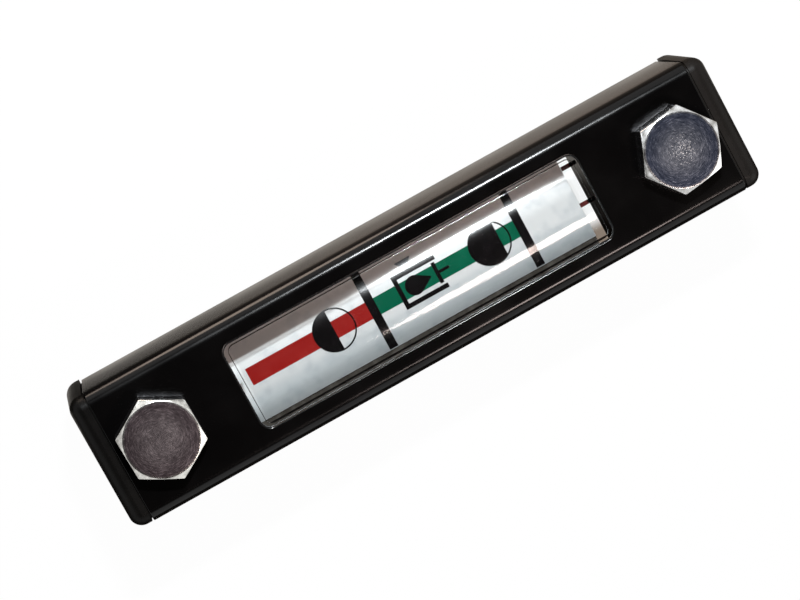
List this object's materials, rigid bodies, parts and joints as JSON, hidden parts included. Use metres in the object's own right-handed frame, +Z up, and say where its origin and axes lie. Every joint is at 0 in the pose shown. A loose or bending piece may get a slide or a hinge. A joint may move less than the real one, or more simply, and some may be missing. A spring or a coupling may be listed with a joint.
{
  "type": "fluid level gauge",
  "caption": "Black steel guard with a long window over a clear sight glass and printed level strip, held to a tank wall by hollow bolts through moulded end caps.",
  "frame": {"origin": "in the tank face, halfway between the two bolt axes", "axes": "+Z up along the gauge, -Y out of the front, +Y into the tank, X across"},
  "size_m": [0.0322, 0.048, 0.1568],
  "materials": {
    "guard_paint": "satin black paint on steel",
    "cap_plastic": "fine-grained black moulding",
    "clear_plastic": "clear polished plastic",
    "strip_aluminium": "bright satin foil",
    "red_ink": "satin print",
    "green_ink": "satin print",
    "dark_red_ink": "satin print",
    "black_ink": "satin print",
    "upper_bolt_zinc": "turned steel, blue zinc plating",
    "lower_bolt_zinc": "turned steel, bronze-tinted zinc plating",
    "seal_rubber": "smooth"
  },
  "bodies": {
    "gauge_body": {"guard": "guard_paint", "upper_end_cap": "cap_plastic", "lower_end_cap": "cap_plastic", "sight_glass": "clear_plastic", "scale_strip": "strip_aluminium", "red_band": "red_ink", "green_band": "green_ink", "low_level_line": "black_ink", "high_level_line": "black_ink", "low_level_symbol": "black_ink", "high_level_symbol": "black_ink", "tank_symbol": "black_ink", "end_marks": "dark_red_ink", "edge_borders": "black_ink", "upper_tank_seal": "seal_rubber", "lower_tank_seal": "seal_rubber", "upper_glass_seal": "seal_rubber", "lower_glass_seal": "seal_rubber"},
    "upper_bolt": {"upper_hollow_bolt": "upper_bolt_zinc", "upper_head_seal": "seal_rubber"},
    "lower_bolt": {"lower_hollow_bolt": "lower_bolt_zinc", "lower_head_seal": "seal_rubber"}
  },
  "joints": [
    {"name": "upper_bolt_turn", "type": "hinge", "parent": "gauge_body", "child": "upper_bolt", "pos_m": [0, -0.013, 0.0635], "axis": [0, 1, 0], "continuous": true},
    {"name": "lower_bolt_turn", "type": "hinge", "parent": "gauge_body", "child": "lower_bolt", "pos_m": [0, -0.013, -0.0635], "axis": [0, 1, 0], "continuous": true}
  ]
}
